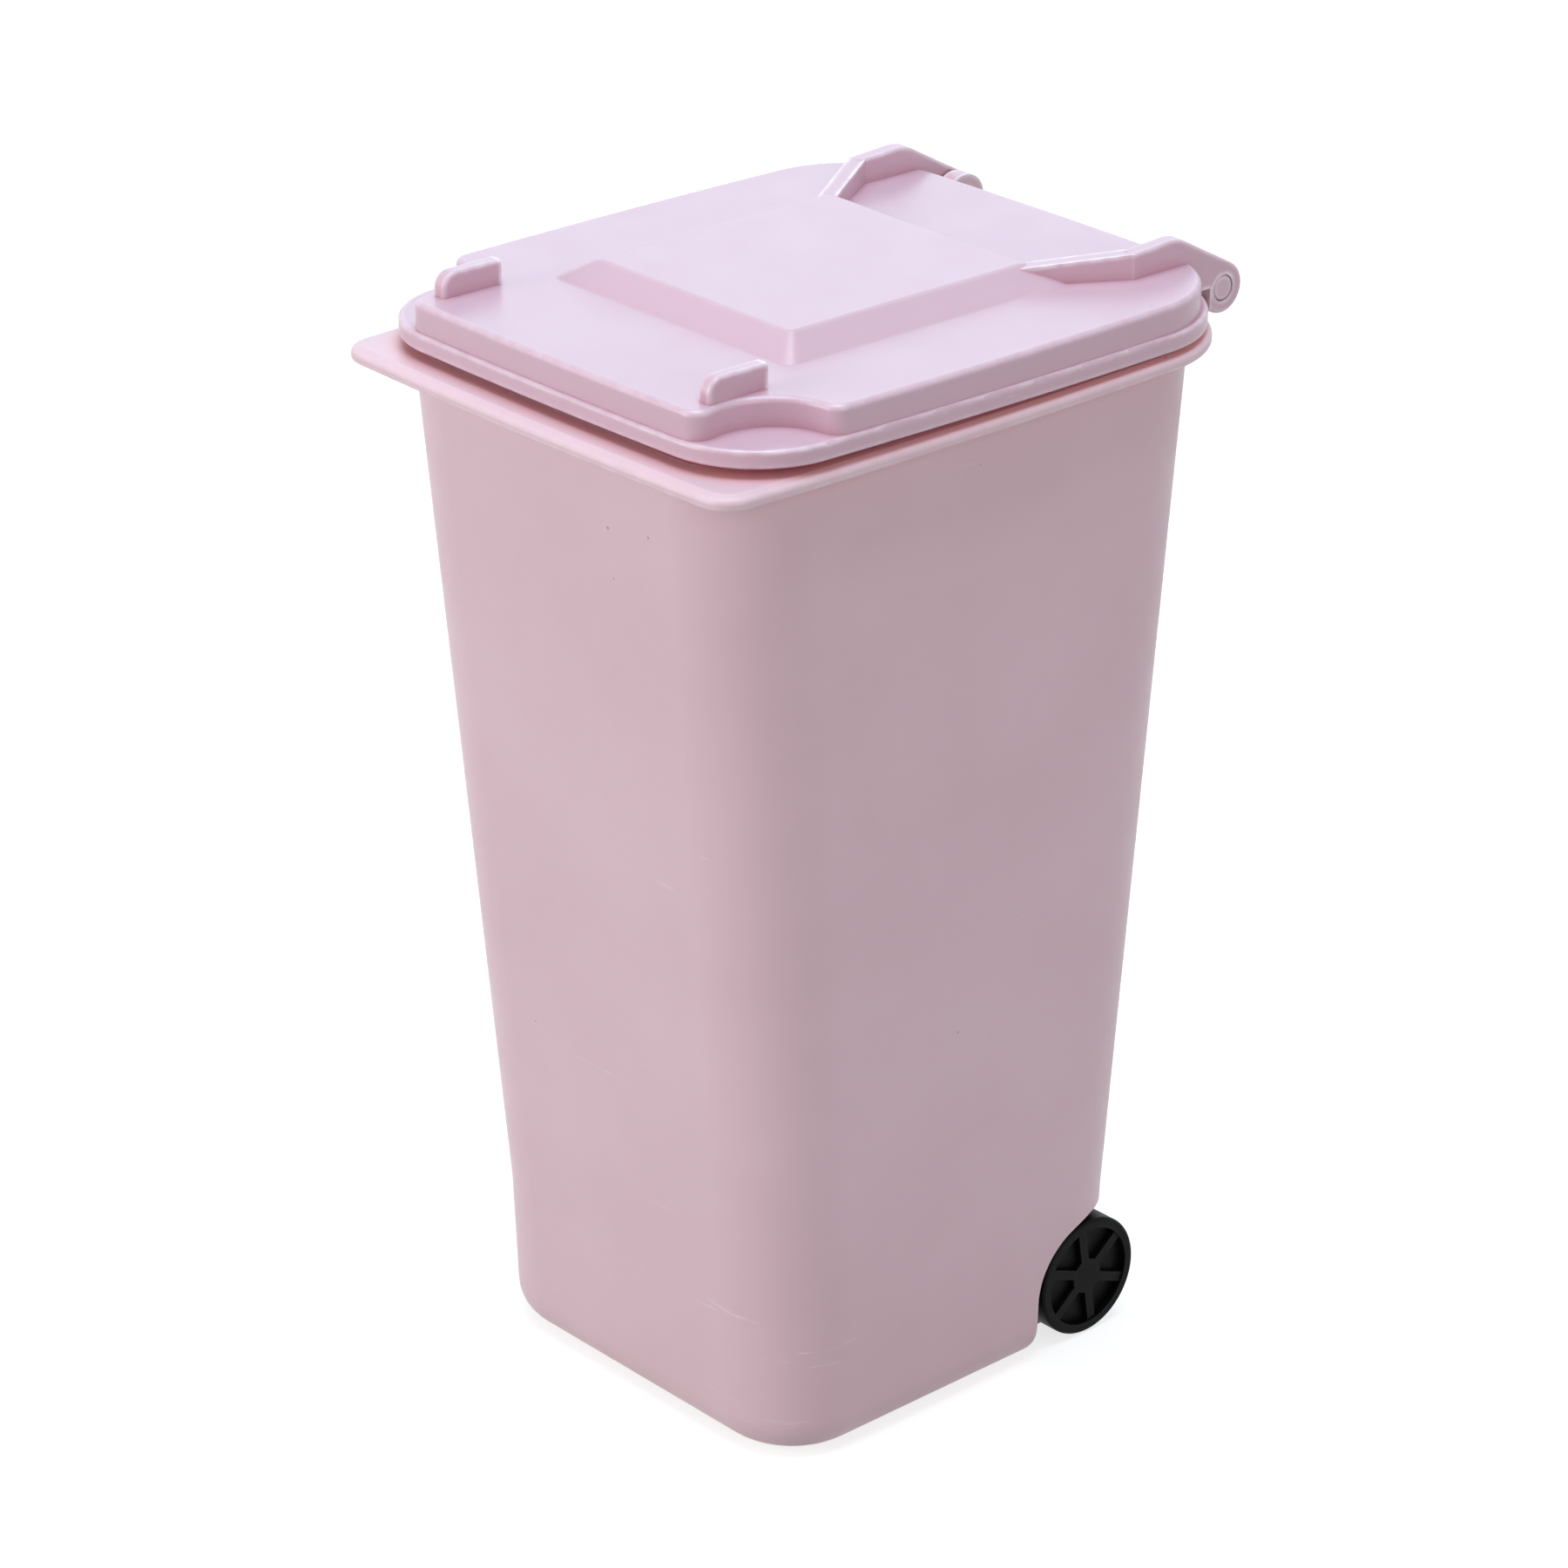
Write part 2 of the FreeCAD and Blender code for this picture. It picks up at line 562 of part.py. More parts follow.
def lid_shell(body):
    """Flange and plateau, with the plateau's front corners scooped away."""
    flange_sketch = new_sketch(body, "flange_outline", "XY_Plane", FLANGE_BOTTOM)
    bowed_outline(flange_sketch, "lid_half_width", "lid_reach", "0 - lid_rear_gap",
                  "lid_front_radius", "lid_rear_radius")
    flange = pad(body, "lid_flange", flange_sketch, "lid_flange_height")
    flange_edges = pick_edges(flange, at_height(FLANGE_BOTTOM)) + pick_edges(flange, at_height(FLANGE_TOP))
    dress(body, "flange_rounding", "Fillet", flange, flange_edges, Radius="lid_flange_rounding")
    plateau_sketch = new_sketch(body, "plateau_outline", "XY_Plane", FLANGE_TOP)
    bowed_outline(plateau_sketch, *PLATEAU_EDGE)
    pad(body, "lid_plateau", plateau_sketch, "plateau_rise")
    scallop_sketch = new_sketch(body, "scallop_circles", "XY_Plane", PLATEAU_TOP)
    scallop_circles(scallop_sketch, "scallop_radius")
    scallops = pocket(body, "lid_scallops", scallop_sketch, "plateau_rise")
    centre = vector(value(SCALLOP_X), value(SCALLOP_Y))
    low, high = value(FLANGE_TOP), value(PLATEAU_TOP)
    doc.recompute()
    ends = []
    for index, edge in enumerate(scallops.Shape.Edges, start=1):
        heights = sorted(vertex.Point.z for vertex in edge.Vertexes)
        if len(heights) < 2 or abs(heights[0] - low) > NEAR or abs(heights[-1] - high) > NEAR:
            continue
        spot = edge.Vertexes[0].Point
        if abs(math.hypot(abs(spot.x) - centre.x, spot.y - centre.y) - value("scallop_radius")) < NEAR:
            ends.append(f"Edge{index}")
    corners = dress(body, "scallop_ends", "Fillet", scallops, ends, Radius="scallop_end_rounding")
    top_edges = pick_edges(corners, at_height(PLATEAU_TOP))
    dress(body, "plateau_rounding_edge", "Fillet", corners, top_edges, Radius="plateau_rounding")


def hump_sections(body, prefix, drop):
    """Foot and crown of the raised panel in the middle of the lid, lowered by drop."""
    foot = new_sketch(body, prefix + "_foot", "XY_Plane", f"{PLATEAU_TOP} - {drop}")
    rounded_outline(foot, "hump_half_width", "hump_front", "0 - hump_rear",
                    "hump_corner_radius", "hump_corner_radius")
    crown = new_sketch(body, prefix + "_crown", "XY_Plane", f"{PLATEAU_TOP} + hump_rise - {drop}")
    inset = "hump_slope_width"
    rounded_outline(crown, f"hump_half_width - {inset}", f"hump_front - {inset}", f"0 - hump_rear - {inset}",
                    "hump_top_corner_radius", "hump_top_corner_radius")
    return [foot, crown]


def lid_hump(body):
    """The raised panel with a soft crown and a soft foot."""
    hump = loft(body, "lid_hump", "AdditiveLoft", hump_sections(body, "hump", "0"))
    crown_edges = pick_edges(hump, at_height(f"{PLATEAU_TOP} + hump_rise"))
    crown = dress(body, "hump_crown_edge", "Fillet", hump, crown_edges, Radius="hump_crown_rounding")
    level = at_height(PLATEAU_TOP)
    side, front, rear = value("hump_half_width"), -value("hump_front"), -value("hump_rear")

    def on_foot(spot):
        return level(spot) and abs(spot.x) < side + NEAR and front - NEAR < spot.y < rear + NEAR
    foot_edges = pick_edges(crown, on_foot)
    dress(body, "hump_foot_edge", "Fillet", crown, foot_edges, Radius="hump_foot_rounding")


ARM_TURN = "atan( ( arm_half_spread - arm_root_half_spread ) / ( arm_root - arm_bend ) )"
ARM_MITRE = f"arm_width / 2 * tan( {ARM_TURN} / 2 )"


def arm_profile(sketch):
    """Rear stretch of a hinge arm with its ear, seen from the side."""
    ear, flat = value("ear_radius"), value("ear_flat")
    top = value(f"{PLATEAU_TOP} + arm_rise")
    low = value(f"{PLATEAU_TOP} - arm_sink")
    shoulder = vector(-value("arm_shoulder"), top)
    turn = math.atan2(shoulder.y, shoulder.x) - math.acos(ear / shoulder.Length)
    touch = vector(ear * math.cos(turn), ear * math.sin(turn))
    toe_turn = math.pi + math.acos(flat / ear)
    toe = vector(-flat, ear * math.sin(toe_turn))
    under = value("ear_underside")
    heel = -value("lid_rear_gap + ear_heel")
    bend = -value(f"arm_bend + {ARM_MITRE}")
    spots = [toe, vector(-flat, under), vector(heel, under), vector(bend, low),
             vector(bend, top - value("arm_bend_drop")), shoulder, touch]
    for start, end in zip(spots[:-1], spots[1:]):
        sketch.addGeometry(Part.LineSegment(start, end))
    last = len(spots) - 2
    sketch.addGeometry(arc(vector(0, 0), ear, toe_turn - 2 * math.pi, turn))
    for index in range(last):
        sketch.addConstraint(Sketcher.Constraint("Coincident", index, 2, index + 1, 1))
    sketch.addConstraint(Sketcher.Constraint("Tangent", last, 2, last + 1, 2))
    sketch.addConstraint(Sketcher.Constraint("Coincident", last + 1, 1, 0, 1))
    sketch.addConstraint(Sketcher.Constraint("Coincident", last + 1, 3, -1, 1))
    bind(sketch, "Radius", (last + 1,), "ear_radius", "ear")
    sketch.addConstraint(Sketcher.Constraint("Vertical", 0))
    bind_place(sketch, 1, 1, "0 - ear_flat", "ear_underside", "flat")
    bind_place(sketch, 2, 1, "0 - lid_rear_gap - ear_heel", "ear_underside", "heel")
    bend_place = f"0 - arm_bend - {ARM_MITRE}"
    bind_place(sketch, 3, 1, bend_place, f"{PLATEAU_TOP} - arm_sink", "root")
    bind_place(sketch, 4, 1, bend_place, f"{PLATEAU_TOP} + arm_rise - arm_bend_drop", "bend")
    bind_place(sketch, 5, 1, "0 - arm_shoulder", f"{PLATEAU_TOP} + arm_rise", "shoulder")


def side_edges(feature, spread, width):
    """Edges along the two flanks of an upright rib that lie above the lid's plateau."""
    middle, half = value(spread), value(width) / 2
    level = value(PLATEAU_TOP) + value("ridge_rounding")

    def on_flank(spot):
        return abs(abs(spot.x - middle) - half) < NEAR and spot.z > level
    return pick_edges(feature, on_flank)


def lid_arms(body):
    """Two arms that run out from the hump, bend back and end in the hinge ears."""
    side_sketch = new_sketch(body, "arm_side", "YZ_Plane", "arm_half_spread")
    arm_profile(side_sketch)
    rear_arm = pad(body, "arm_rear", side_sketch, "arm_width / 2", "arm_width / 2")
    shoulder_y, shoulder_z = value("0 - arm_shoulder"), value(f"{PLATEAU_TOP} + arm_rise")

    def on_shoulder(spot):
        return abs(spot.y - shoulder_y) < NEAR and abs(spot.z - shoulder_z) < NEAR
    ridge = pick_edges(rear_arm, on_shoulder)
    shoulder = dress(body, "arm_shoulder_rounding", "Fillet", rear_arm, ridge, Radius="arm_shoulder_radius")
    flanks = side_edges(shoulder, "arm_half_spread", "arm_width")
    soft = dress(body, "arm_ridge_rounding", "Fillet", shoulder, flanks, Radius="ridge_rounding")
    front_sketch = new_sketch(body, "arm_front_side", "YZ_Plane", "arm_half_spread")
    front_sketch.setExpression("AttachmentOffset.Base.x", formula("0 - arm_bend"))
    turn = FreeCAD.Rotation(vector(0, -1), value(ARM_TURN))
    front_sketch.AttachmentOffset = FreeCAD.Placement(front_sketch.AttachmentOffset.Base, turn)
    front_sketch.setExpression("AttachmentOffset.Rotation.Angle", formula(ARM_TURN))
    run = "sqrt( ( arm_half_spread - arm_root_half_spread ) ^ 2 + ( arm_root - arm_bend ) ^ 2 )"
    close_polygon(front_sketch, [
        (f"0 - {run}", f"{PLATEAU_TOP} - arm_sink"),
        (ARM_MITRE, f"{PLATEAU_TOP} - arm_sink"),
        (ARM_MITRE, f"{PLATEAU_TOP} + arm_rise - arm_bend_drop"),
        (f"0 - {run}", f"{PLATEAU_TOP} + arm_rise - arm_root_drop"),
    ])
    front_arm = pad(body, "arm_front", front_sketch, "arm_width / 2", "arm_width / 2")
    mirror(body, "lid_arms", [rear_arm, shoulder, soft, front_arm])


def lid_ribs(body):
    """Two short upright ribs behind the front edge, each with a round nose."""
    sketch = new_sketch(body, "rib_side", "YZ_Plane", "rib_half_spread")
    nose = value("rib_nose_radius")
    front = value("rib_setback - lid_reach")
    rear = front + value("rib_length")
    low, top = value(f"{PLATEAU_TOP} - arm_sink"), value(f"{PLATEAU_TOP} + rib_rise")
    sketch.addGeometry(Part.LineSegment(vector(front, low), vector(rear, low)))
    sketch.addGeometry(Part.LineSegment(vector(rear, low), vector(rear, top)))
    sketch.addGeometry(Part.LineSegment(vector(rear, top), vector(front + nose, top)))
    sketch.addGeometry(arc(vector(front + nose, top - nose), nose, QUARTER, math.pi))
    sketch.addGeometry(Part.LineSegment(vector(front, top - nose), vector(front, low)))
    sketch.addConstraint(Sketcher.Constraint("Coincident", 0, 2, 1, 1))
    sketch.addConstraint(Sketcher.Constraint("Coincident", 1, 2, 2, 1))
    sketch.addConstraint(Sketcher.Constraint("Tangent", 2, 2, 3, 1))
    sketch.addConstraint(Sketcher.Constraint("Tangent", 3, 2, 4, 1))
    sketch.addConstraint(Sketcher.Constraint("Coincident", 4, 2, 0, 1))
    for index, kind in enumerate(("Horizontal", "Vertical", "Horizontal")):
        sketch.addConstraint(Sketcher.Constraint(kind, index))
    sketch.addConstraint(Sketcher.Constraint("Vertical", 4))
    bind_place(sketch, 0, 1, "rib_setback - lid_reach", f"{PLATEAU_TOP} - arm_sink", "foot")
    bind_place(sketch, 1, 2, "rib_setback - lid_reach + rib_length", f"{PLATEAU_TOP} + rib_rise", "crest")
    bind(sketch, "Radius", (3,), "rib_nose_radius", "nose")
    rib = pad(body, "front_rib", sketch, "rib_width / 2", "rib_width / 2")
    flanks = side_edges(rib, "rib_half_spread", "rib_width")
    soft = dress(body, "rib_rounding", "Fillet", rib, flanks, Radius="ridge_rounding")
    mirror(body, "front_ribs", [rib, soft])


def build_lid():
    outer = new_body("lid_outer")
    lid_shell(outer)
    lid_hump(outer)
    lid_ribs(outer)
    lid_arms(outer)
    holes = new_sketch(outer, "ear_holes_circle", "YZ_Plane")
    ring_of_circles(holes, [("0", "0", "pin_radius + pin_play")])
    across = "arm_half_spread + arm_width"
    pocket(outer, "ear_holes", holes, across, across)

    cavity = new_body("lid_cavity")
    under_sketch = new_sketch(cavity, "underside_outline", "XY_Plane", FLANGE_BOTTOM)
    bowed_outline(under_sketch, *[f"{text} - lid_wall" for text in PLATEAU_EDGE])
    depth = "lid_flange_height + plateau_rise"
    pad(cavity, "lid_underside", under_sketch, f"{depth} - lid_wall", "cut_overrun")
    guard_sketch = new_sketch(cavity, "scallop_walls", "XY_Plane", FLANGE_BOTTOM)
    scallop_circles(guard_sketch, "scallop_radius + lid_wall")
    pocket(cavity, "scallop_backs", guard_sketch, "cut_overrun", depth)
    loft(cavity, "hump_underside", "AdditiveLoft", hump_sections(cavity, "under_hump", "lid_wall"))

    lid = doc.addObject("Part::Cut", "lid")
    lid.Base = outer
    lid.Tool = cavity
    lid.Label = "lid"
    swing = FreeCAD.Rotation(vector(-1, 0), value("lid_rest_tilt"))
    lid.Placement = FreeCAD.Placement(vector(0, value("hinge_back"), value(HINGE_HEIGHT)), swing)
    lid.setExpression("Placement.Base.y", formula("hinge_back"))
    lid.setExpression("Placement.Base.z", formula(HINGE_HEIGHT))
    lid.setExpression("Placement.Rotation.Angle", formula("lid_rest_tilt"))
    return lid


# Round pieces: hinge pins, axle and wheels, each drawn along its own axis and then laid along X

def lay_across(piece, side, offset, back, height):
    """Turn a piece's own Z axis along the bin's X axis, outwards on the given side."""
    turn = FreeCAD.Rotation(vector(0, 1), side * FULL_TURN / 4)
    piece.Placement = FreeCAD.Placement(vector(0, 0), turn)
    sign = "" if side == RIGHT else "0 - "
    piece.setExpression("Placement.Base.x", formula(f"{sign}( {offset} )"))
    piece.setExpression("Placement.Base.y", formula(back))
    piece.setExpression("Placement.Base.z", formula(height))


def build_rod(name, radius, length, chamfer):
    rod = new_body(name)
    sketch = new_sketch(rod, name + "_circle", "XY_Plane")
    ring_of_circles(sketch, [("0", "0", radius)])
    bar = pad(rod, name + "_bar", sketch, length)
    rims = pick_edges(bar, at_height("0")) + pick_edges(bar, at_height(length))
    dress(rod, name + "_chamfer", "Chamfer", bar, rims, Size=chamfer)
    return rod


def build_hinge_pin(name, side):
    inner_end = f"{LUG_OUTER} - lug_width"
    length = f"arm_half_spread + arm_width / 2 - ( {inner_end} )"
    pin = build_rod(name, "pin_radius", length, "pin_end_chamfer")
    lay_across(pin, side, inner_end, "hinge_back", HINGE_HEIGHT)
    return pin


AXLE_HALF = "wheel_outer_face - wheel_cap_thickness - wheel_face_recess"


def build_axle():
    axle = build_rod("axle", "axle_radius", f"2 * ( {AXLE_HALF} )", "axle_end_chamfer")
    lay_across(axle, RIGHT, f"0 - ( {AXLE_HALF} )", "wheel_back", AXLE_HEIGHT)
    return axle


def build_wheel(name, side):
    """Spoked wheel: tyre ring, web, hub with a blind bore and six raised spokes on the outside."""
    wheel = new_body(name)
    section = new_sketch(wheel, name + "_section", "XZ_Plane")
    web_top = "wheel_width - wheel_face_recess"
    face = "wheel_width - wheel_spoke_sink"
    close_polygon(section, [
        ("axle_radius", "0"),
        ("wheel_hub_radius", "0"),
        ("wheel_hub_radius", "wheel_inner_recess"),
        ("wheel_radius - wheel_tyre_width", "wheel_inner_recess"),
        ("wheel_radius - wheel_tyre_width", "0"),
        ("wheel_radius", "0"),
        ("wheel_radius", "wheel_width"),
        ("wheel_radius - wheel_tyre_width", "wheel_width"),
        ("wheel_radius - wheel_tyre_width", web_top),
        ("wheel_hub_radius", web_top),
        ("wheel_hub_radius", face),
        ("0", face),
        ("0", f"{web_top} - wheel_cap_thickness"),
        ("axle_radius", f"{web_top} - wheel_cap_thickness"),
    ])
    turned = wheel.newObject("PartDesign::Revolution", name + "_turned")
    turned.Profile = section
    turned.ReferenceAxis = (section, ["V_Axis"])
    turned.Angle = FULL_TURN
    rim = value("wheel_radius")
    edges = pick_edges(turned, lambda spot: abs(math.hypot(spot.x, spot.y) - rim) < NEAR)
    rims = [edge for edge in edges if turned.Shape.getElement(edge).isClosed()]
    dress(wheel, name + "_tyre_rounding", "Fillet", turned, rims, Radius="wheel_edge_rounding")
    spoke_sketch = new_sketch(wheel, name + "_spoke_plan", "XY_Plane", f"{web_top} - wheel_cap_thickness / 2")
    turn = "wheel_spoke_turn" if side == RIGHT else f"{FULL_TURN} / {SPOKES} - wheel_spoke_turn"
    spoke_sketch.setExpression("AttachmentOffset.Rotation.Angle", formula(turn))
    inner, outer = "wheel_hub_radius / 2", "wheel_radius - wheel_tyre_width / 2"
    close_polygon(spoke_sketch, [(inner, "0 - wheel_spoke_width / 2"), (outer, "0 - wheel_spoke_width / 2"),
                                 (outer, "wheel_spoke_width / 2"), (inner, "wheel_spoke_width / 2")])
    spoke = pad(wheel, name + "_spoke", spoke_sketch,
                "wheel_cap_thickness / 2 + wheel_face_recess - wheel_spoke_sink")
    doc.recompute()
    spokes = wheel.newObject("PartDesign::PolarPattern", name + "_spokes")
    spokes.Originals = [spoke]
    spokes.Axis = (spoke_sketch, ["N_Axis"])
    spokes.Angle = FULL_TURN
    spokes.Occurrences = SPOKES
    wheel.Tip = spokes
    lay_across(wheel, side, "wheel_outer_face - wheel_width", "wheel_back", AXLE_HEIGHT)
    return wheel


tub = build_tub()
lid = build_lid()
pieces = [tub, lid]
for side, word in ((LEFT, "left"), (RIGHT, "right")):
    pieces.append(build_hinge_pin("hinge_pin_" + word, side))
    pieces.append(build_wheel("wheel_" + word, side))
pieces.append(build_axle())
doc.recompute()

# Nothing is written unless every object worked and every piece is one sound solid
for item in doc.Objects:
    if "Invalid" in item.State or "Error" in item.State:
        raise RuntimeError(f"{item.Name} failed: {item.State}")
os.makedirs("parts", exist_ok=True)
for piece in pieces:
    shape = piece.Shape
    if shape.isNull() or not shape.isValid() or len(shape.Solids) != 1:
        raise RuntimeError(f"{piece.Label} is not one sound solid")
for piece in pieces:
    shape = piece.Shape
    shape.exportStep(f"parts/{piece.Label}.step")
    box = shape.BoundBox
    print(f"{piece.Label}: volume {shape.Volume:.1f}, x {box.XMin:.2f}..{box.XMax:.2f}, "
          f"y {box.YMin:.2f}..{box.YMax:.2f}, z {box.ZMin:.2f}..{box.ZMax:.2f}")
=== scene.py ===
import math

import bpy
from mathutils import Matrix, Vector

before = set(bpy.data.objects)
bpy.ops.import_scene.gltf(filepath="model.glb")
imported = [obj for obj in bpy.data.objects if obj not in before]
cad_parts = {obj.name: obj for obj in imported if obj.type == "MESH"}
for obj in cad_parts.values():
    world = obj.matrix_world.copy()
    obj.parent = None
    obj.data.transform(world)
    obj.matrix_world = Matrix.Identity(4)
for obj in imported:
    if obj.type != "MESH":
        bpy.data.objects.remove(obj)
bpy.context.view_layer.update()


# Tub: one deep tapered box with a thin turned-out rim, injection moulded in pale pink polypropylene.
# The satin skin has a faint cloudy blush, a fine mould grain, dust specks caught in the plastic and a
# few light scuffs; its outer edges are painted paler, partly rubbed wear and partly a painted highlight,
# and its inner corners get painted shade in a deeper pink.
TUB_PINK = (0.705, 0.508, 0.566)
TUB_BLUSH = (0.677, 0.478, 0.534)
# Painted shade colour for the tub's inner corners and creases, a redder pink that also stands for light
# through the plastic
TUB_PAINTED_CORNER_SHADE = (0.860, 0.400, 0.410)
# Paler colour for the tub's outer edges: partly rubbed wear, partly a painted highlight
TUB_RUBBED_AND_HIGHLIT = (0.870, 0.780, 0.830)
# Painted glow colour for the tub's inner faces, standing in for light through the thin walls
TUB_PAINTED_GLOW = (0.095, 0.030, 0.032)
SPECK_BROWN = (0.180, 0.110, 0.120)
SCUFF_PALE = (0.830, 0.720, 0.760)
TUB_ROUGHNESS = (0.36, 0.46)
PLASTIC_IOR = 1.49
SOFT_SHARE = 0.10
SOFT_RADIUS = (0.0024, 0.0012, 0.0013)
GRAIN_STRENGTH = 0.35
CORNER_SHADE_SHARE = 0.85
SCUFF_SHARE = 0.6
SPECK_SHARE = 0.5
FOOT_BAND = (0.010, 0.030)
BASE_BAND = (0.020, 0.045)
LUG_FRONT_BAND = (0.0440, 0.0455)


def new_group(name, inputs, outputs):
    """A shader node group with named sockets, and the nodes that its sockets come out of and go into."""
    group = bpy.data.node_groups.new(name, "ShaderNodeTree")
    for label, kind, start in inputs:
        socket = group.interface.new_socket(label, in_out="INPUT", socket_type="NodeSocket" + kind)
        if start is not None:
            socket.default_value = start
    for label, kind in outputs:
        group.interface.new_socket(label, in_out="OUTPUT", socket_type="NodeSocket" + kind)
    return group, group.nodes.new("NodeGroupInput"), group.nodes.new("NodeGroupOutput")


def fill(tree, socket, source):
    """Links a socket to a source socket, or sets it to a plain value."""
    if isinstance(source, bpy.types.NodeSocket):
        tree.links.new(source, socket)
    else:
        socket.default_value = source


def place(tree, kind, into=None, **settings):
    """Adds a node with its properties set; into gives the values or links of its inputs."""
    node = tree.nodes.new(kind)
    for key, setting in settings.items():
        setattr(node, key, setting)
    for label, source in (into or {}).items():
        fill(tree, node.inputs[label], source)
    return node


def rgba(colour):
    return (*colour, 1.0)


def blend_colour(tree, factor, below, above):
    """A colour mix; below and above are sockets or plain colours."""
    node = place(tree, "ShaderNodeMix", into={0: factor, 6: below, 7: above}, data_type="RGBA")
    return node.outputs[2]


def stretch(tree, source, from_low, from_high, to_low, to_high):
    """Maps one range of a value onto another, held within it."""
    return place(tree, "ShaderNodeMapRange", into={
        "Value": source, "From Min": from_low, "From Max": from_high,
        "To Min": to_low, "To Max": to_high}).outputs["Result"]


def times(tree, first, second):
    return place(tree, "ShaderNodeMath", into={0: first, 1: second}, operation="MULTIPLY").outputs[0]


# Cloudy blush: the slow change of shade that flowing plastic leaves in a moulded wall
moulding_blush, given, put_out = new_group(
    "moulding_blush",
    [("Vector", "Vector", None), ("Scale", "Float", 28.0)],
    [("Cloud", "Float")])
wide_cloud = place(moulding_blush, "ShaderNodeTexNoise", into={
    "Vector": given.outputs["Vector"], "Scale": given.outputs["Scale"], "Detail": 3.0, "Roughness": 0.55})
cloud = stretch(moulding_blush, wide_cloud.outputs["Fac"], 0.34, 0.68, 0.0, 1.0)
moulding_blush.links.new(cloud, put_out.inputs["Cloud"])

# Mould grain: the fine spark-eroded texture of the tool, with a slower waviness under it
mould_grain, given, put_out = new_group(
    "mould_grain",
    [("Vector", "Vector", None), ("Grain Scale", "Float", 2600.0), ("Wave Scale", "Float", 130.0),
     ("Wave Share", "Float", 0.5)],
    [("Height", "Float"), ("Sheen", "Float")])
fine = place(mould_grain, "ShaderNodeTexNoise", into={
    "Vector": given.outputs["Vector"], "Scale": given.outputs["Grain Scale"], "Detail": 2.0})
wave = place(mould_grain, "ShaderNodeTexNoise", into={
    "Vector": given.outputs["Vector"], "Scale": given.outputs["Wave Scale"], "Detail": 2.0})
waviness = times(mould_grain, wave.outputs["Fac"], given.outputs["Wave Share"])
height = place(mould_grain, "ShaderNodeMath", into={0: fine.outputs["Fac"], 1: waviness}, operation="ADD")
mould_grain.links.new(height.outputs[0], put_out.inputs["Height"])
mould_grain.links.new(wave.outputs["Fac"], put_out.inputs["Sheen"])

# Specks and scuffs: dust caught in the melt, and short hairlines from handling
handling_marks, given, put_out = new_group(
    "handling_marks",
    [("Vector", "Vector", None), ("Speck Scale", "Float", 95.0), ("Speck Size", "Float", 0.028),
     ("Scuff Scale", "Float", 55.0)],
    [("Specks", "Float"), ("Scuffs", "Float")])
dots = place(handling_marks, "ShaderNodeTexVoronoi", into={
    "Vector": given.outputs["Vector"], "Scale": given.outputs["Speck Scale"]})
speck_limit = times(handling_marks, given.outputs["Speck Size"], dots.outputs["Color"])
speck = place(handling_marks, "ShaderNodeMath", into={
    0: dots.outputs["Distance"], 1: speck_limit}, operation="LESS_THAN")
handling_marks.links.new(speck.outputs[0], put_out.inputs["Specks"])
slanted = place(handling_marks, "ShaderNodeMapping", into={
    "Vector": given.outputs["Vector"], "Rotation": (0.5, 0.35, 0.3), "Scale": (1.0, 1.0, 14.0)})
hairs = place(handling_marks, "ShaderNodeTexNoise", into={
    "Vector": slanted.outputs["Vector"], "Scale": given.outputs["Scuff Scale"], "Detail": 5.0,
    "Roughness": 0.62})
hairline = stretch(handling_marks, hairs.outputs["Fac"], 0.665, 0.72, 0.0, 1.0)
patches = place(handling_marks, "ShaderNodeTexNoise", into={
    "Vector": given.outputs["Vector"], "Scale": 34.0, "Detail": 1.0})
in_patch = stretch(handling_marks, patches.outputs["Fac"], 0.54, 0.66, 0.0, 1.0)
handling_marks.links.new(times(handling_marks, hairline, in_patch), put_out.inputs["Scuffs"])

# Rubbed edges with a painted highlight: outer edges only, found by how soon a look into the plastic comes
# out again;
# their paler colour is partly rubbed wear and partly a painted highlight
rubbed_highlit_edges, given, put_out = new_group(
    "rubbed_highlit_edges",
    [("Vector", "Vector", None), ("Width", "Float", 0.0008)],
    [("Edge", "Float")])
thinness = place(rubbed_highlit_edges, "ShaderNodeAmbientOcclusion", into={"Distance": given.outputs["Width"]},
                 samples=8, inside=True, only_local=True)
bare_or_highlit_edge = stretch(rubbed_highlit_edges, thinness.outputs["AO"], 0.96, 0.66, 0.0, 1.0)
break_up = place(rubbed_highlit_edges, "ShaderNodeTexNoise", into={
    "Vector": given.outputs["Vector"], "Scale": 420.0, "Detail": 3.0})
edge_break_up = stretch(rubbed_highlit_edges, break_up.outputs["Fac"], 0.36, 0.62, 0.35, 1.0)
rubbed_highlit_edges.links.new(times(rubbed_highlit_edges, bare_or_highlit_edge, edge_break_up), put_out.inputs["Edge"])

# Painted corner shade: where other walls stand close by, the colour is painted a deeper, redder pink for the
# shade there and for light that comes through or off pink plastic; it fades at the foot, because the floor
# that it stands on is pale
painted_corner_shade, given, put_out = new_group(
    "painted_corner_shade",
    [("Vector", "Vector", None), ("Reach", "Float", 0.0050)],
    [("Depth", "Float")])
closeness = place(painted_corner_shade, "ShaderNodeAmbientOcclusion", into={"Distance": given.outputs["Reach"]},
                  samples=8)
depth = stretch(painted_corner_shade, closeness.outputs["AO"], 0.96, 0.45, 0.0, 1.0)
level = place(painted_corner_shade, "ShaderNodeSeparateXYZ", into={"Vector": given.outputs["Vector"]})
above_foot = stretch(painted_corner_shade, level.outputs["Z"], *FOOT_BAND, 0.15, 1.0)
painted_corner_shade.links.new(times(painted_corner_shade, depth, above_foot), put_out.inputs["Depth"])


def use_group(tree, group, **inputs):
    """Puts a node group in a material, with its inputs; an input's name has spaces as _."""
    node = tree.nodes.new("ShaderNodeGroup")
    node.node_tree = group
    for key, source in inputs.items():
        fill(tree, node.inputs[key.replace("_", " ")], source)
    return node


